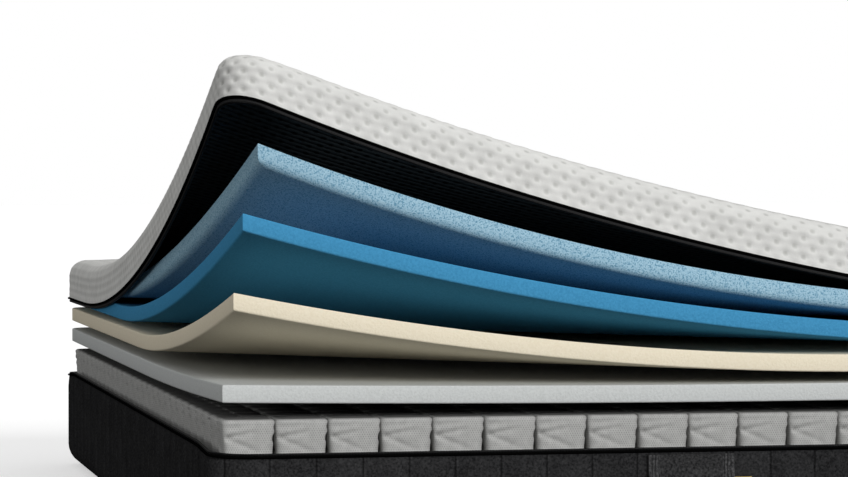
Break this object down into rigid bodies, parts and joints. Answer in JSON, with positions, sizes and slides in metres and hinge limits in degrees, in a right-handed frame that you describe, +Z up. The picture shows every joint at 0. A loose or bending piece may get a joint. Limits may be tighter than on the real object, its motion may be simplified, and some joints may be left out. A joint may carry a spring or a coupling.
{
  "type": "memory foam mattress",
  "caption": "King size pocket-spring and memory foam mattress with a zip-off quilted cover, shown opened layer by layer at one corner, with carry straps.",
  "frame": {"origin": "centre of the underside, on the surface the mattress lies on", "axes": "+X along the length, +Y away from the near long side, +Z up; the curled corner is at -X -Y"},
  "size_m": [2.005, 1.515, 0.5395],
  "materials": {
    "tray_fabric": "charcoal quilted polyester",
    "piping": "black woven piping",
    "zip_tape": "woven tape",
    "zip_teeth": "black nylon coil",
    "base_foam": "open-cell foam",
    "pocket_fabric": "spunbond non-woven",
    "spring_wire": "drawn wire",
    "support_foam": "light grey open-cell foam",
    "transition_foam": "cream open-cell foam",
    "comfort_foam": "blue open-cell foam",
    "gel_memory_foam": "blue memory foam with gel specks",
    "cover_knit": "white quilted knit",
    "cover_lining": "black ribbed lining",
    "handle_fabric": "heathered charcoal webbing",
    "tag_fabric": "gold woven ribbon",
    "zip_metal": "black painted zinc"
  },
  "bodies": {
    "root": {"base_panel": "tray_fabric", "front_border": "tray_fabric", "rear_border": "tray_fabric", "left_border": "tray_fabric", "right_border": "tray_fabric", "rim_piping": "piping", "lower_zip_tape": "zip_tape", "lower_zip_teeth": "zip_teeth", "base_foam": "base_foam", "pocket_strips_01": "pocket_fabric", "pocket_strips_02": "pocket_fabric", "pocket_strips_03": "pocket_fabric", "pocket_strips_04": "pocket_fabric", "pocket_strips_05": "pocket_fabric", "pocket_strips_06": "pocket_fabric", "pocket_strips_07": "pocket_fabric", "pocket_strips_08": "pocket_fabric", "pocket_strips_09": "pocket_fabric", "pocket_strips_10": "pocket_fabric", "pocket_strips_11": "pocket_fabric", "pocket_strips_12": "pocket_fabric", "pocket_strips_13": "pocket_fabric", "pocket_strips_14": "pocket_fabric", "pocket_strips_15": "pocket_fabric", "pocket_strips_16": "pocket_fabric", "pocket_strips_17": "pocket_fabric", "pocket_strips_18": "pocket_fabric", "pocket_strips_19": "pocket_fabric", "spring_coils": "spring_wire", "handle_upper_ends": "handle_fabric", "handle_lower_ends": "handle_fabric", "side_tag": "tag_fabric"},
    "support_layer": {"support_foam": "support_foam"},
    "transition_layer": {"transition_foam": "transition_foam"},
    "comfort_layer": {"comfort_foam": "comfort_foam"},
    "gel_layer": {"gel_memory_foam": "gel_memory_foam"},
    "cover": {"cover_top": "cover_knit", "cover_border": "cover_knit", "cover_lining": "cover_lining", "cover_piping": "piping", "upper_zip_tape": "zip_tape", "upper_zip_teeth": "zip_teeth"},
    "front_left_strap": {"front_left_handle": "handle_fabric"},
    "front_right_strap": {"front_right_handle": "handle_fabric"},
    "rear_left_strap": {"rear_left_handle": "handle_fabric"},
    "rear_right_strap": {"rear_right_handle": "handle_fabric"},
    "slider": {"zip_slider": "zip_metal"},
    "pull_tab": {"zip_pull_tab": "zip_metal"}
  },
  "joints": [
    {"name": "spring_press", "type": "slide", "parent": "root", "child": "support_layer", "axis": [0, 0, -1], "range_m": [0, 0.04], "stiffness_N_per_m": 20000, "springref_m": -0.03, "deforming": ["pocket_strips_01", "pocket_strips_02", "pocket_strips_03", "pocket_strips_04", "pocket_strips_05", "pocket_strips_06", "pocket_strips_07", "pocket_strips_08", "pocket_strips_09", "pocket_strips_10", "pocket_strips_11", "pocket_strips_12", "pocket_strips_13", "pocket_strips_14", "pocket_strips_15", "pocket_strips_16", "pocket_strips_17", "pocket_strips_18", "pocket_strips_19", "spring_coils"]},
    {"name": "transition_lift", "type": "slide", "parent": "support_layer", "child": "transition_layer", "axis": [0, 0, 1], "range_m": [0, 0.25]},
    {"name": "comfort_lift", "type": "slide", "parent": "transition_layer", "child": "comfort_layer", "axis": [0, 0, 1], "range_m": [0, 0.25]},
    {"name": "gel_lift", "type": "slide", "parent": "comfort_layer", "child": "gel_layer", "axis": [0, 0, 1], "range_m": [0, 0.25]},
    {"name": "cover_fold", "type": "hinge", "parent": "gel_layer", "child": "cover", "pos_m": [0, 0.75, 0.227], "axis": [-1, 0, 0], "range_deg": [0, 100]},
    {"name": "front_left_strap_pull", "type": "slide", "parent": "root", "child": "front_left_strap", "axis": [0, -1, 0], "range_m": [0, 0.025]},
    {"name": "front_right_strap_pull", "type": "slide", "parent": "root", "child": "front_right_strap", "axis": [0, -1, 0], "range_m": [0, 0.025]},
    {"name": "rear_left_strap_pull", "type": "slide", "parent": "root", "child": "rear_left_strap", "axis": [0, 1, 0], "range_m": [0, 0.025]},
    {"name": "rear_right_strap_pull", "type": "slide", "parent": "root", "child": "rear_right_strap", "axis": [0, 1, 0], "range_m": [0, 0.025]},
    {"name": "zip_slide", "type": "slide", "parent": "root", "child": "slider", "axis": [0, -1, 0], "range_m": [0, 1.28]},
    {"name": "pull_tab_swing", "type": "hinge", "parent": "slider", "child": "pull_tab", "pos_m": [1.0028, 0.64, 0.131], "axis": [0, -1, 0], "range_deg": [0, 150]}
  ]
}
